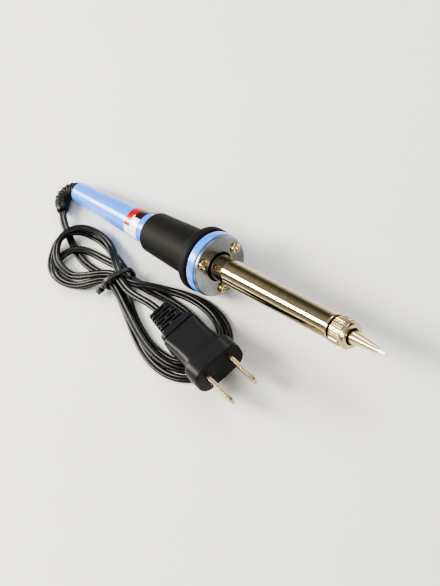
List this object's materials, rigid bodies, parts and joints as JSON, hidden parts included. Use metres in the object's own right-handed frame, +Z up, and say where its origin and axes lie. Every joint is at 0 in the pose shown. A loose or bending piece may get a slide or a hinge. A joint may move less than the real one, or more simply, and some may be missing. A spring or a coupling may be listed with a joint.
{
  "type": "soldering iron with mains lead",
  "caption": "Pencil mains soldering iron: tapered handle with rubber grip, steel barrel, knurled nut, conical tip, folded two-core lead and two-blade plug.",
  "frame": {"origin": "on the bench, under the middle of the iron's own box (without its lead, strain relief boot and plug)", "axes": "+X along the iron towards its tip as seen from above, +Z up; the iron leans up towards the tip by about 6 degrees, on its grip rim and handle end"},
  "size_m": [0.212, 0.0642, 0.0305],
  "materials": {
    "blue_handle": "glossy light-blue moulded handle plastic",
    "black_grip_rubber": "matte black moulded rubber sleeve",
    "label_film": "printed gloss label film, red, black and white, no text",
    "plate_steel": "polished steel plate with fine turned brushing",
    "screw_steel": "bright nickel-plated steel screws",
    "fibre_board": "red-brown vulcanised fibre",
    "barrel_chrome": "polished stainless tube with a faint warm heat tint",
    "bush_brass": "turned brass",
    "heater_ceramic": "unglazed white steatite",
    "winding_wire": "oxidised resistance wire",
    "mica_sheet": "rolled brown mica",
    "glass_sleeving": "woven glass-fibre sleeving",
    "crimp_brass": "pressed brass crimp",
    "core_vinyl": "black vinyl insulation",
    "cord_vinyl": "semi-gloss black vinyl two-core flex",
    "boot_rubber": "black moulded strain relief",
    "tie_plastic": "black plastic-covered wire tie",
    "plug_vinyl": "black moulded vinyl, fine satin texture",
    "blade_brass": "nickel-washed brass blades",
    "nut_chrome": "warm-tinted plated steel, straight knurl",
    "tip_metal": "plated copper tip, bright tinned point"
  },
  "bodies": {
    "root": {"handle_shell": "blue_handle", "grip_sleeve": "black_grip_rubber", "label_sticker": "label_film", "flange_plate": "plate_steel", "flange_screw_1": "screw_steel", "flange_screw_2": "screw_steel", "flange_screw_3": "screw_steel", "fibre_washer": "fibre_board", "barrel_tube": "barrel_chrome", "barrel_bush": "bush_brass", "heater_former": "heater_ceramic", "heater_winding": "winding_wire", "mica_sleeve": "mica_sheet", "heater_lead_1": "glass_sleeving", "heater_lead_2": "glass_sleeving", "crimp_sleeve_1": "crimp_brass", "crimp_sleeve_2": "crimp_brass", "core_wire_1": "core_vinyl", "core_wire_2": "core_vinyl", "inner_cord": "cord_vinyl", "cord_clip": "fibre_board", "strain_relief_boot": "boot_rubber", "cord_lead": "cord_vinyl", "cord_hank": "cord_vinyl", "cord_tail": "cord_vinyl", "hank_tie": "tie_plastic", "plug_body": "plug_vinyl", "plug_blade_1": "blade_brass", "plug_blade_2": "blade_brass"},
    "collet": {"tip_collet": "bush_brass"},
    "nut": {"knurled_nut": "nut_chrome"},
    "tip": {"soldering_tip": "tip_metal"}
  },
  "joints": [
    {"name": "collet_slide", "type": "slide", "parent": "root", "child": "collet", "axis": [0.9939, 0, 0.1105], "range_m": [0, 0.0045]},
    {"name": "nut_turn", "type": "hinge", "parent": "collet", "child": "nut", "pos_m": [0.07641, 0, 0.0242], "axis": [0.9939, 0, 0.1105], "range_deg": [0, 2170]},
    {"name": "tip_slide", "type": "slide", "parent": "root", "child": "tip", "axis": [0.9939, 0, 0.1105], "range_m": [0, 0.056]}
  ],
  "couplings": [
    {"joint": "nut_turn", "follows": "collet_slide", "rad_per_m": 8377.6}
  ]
}
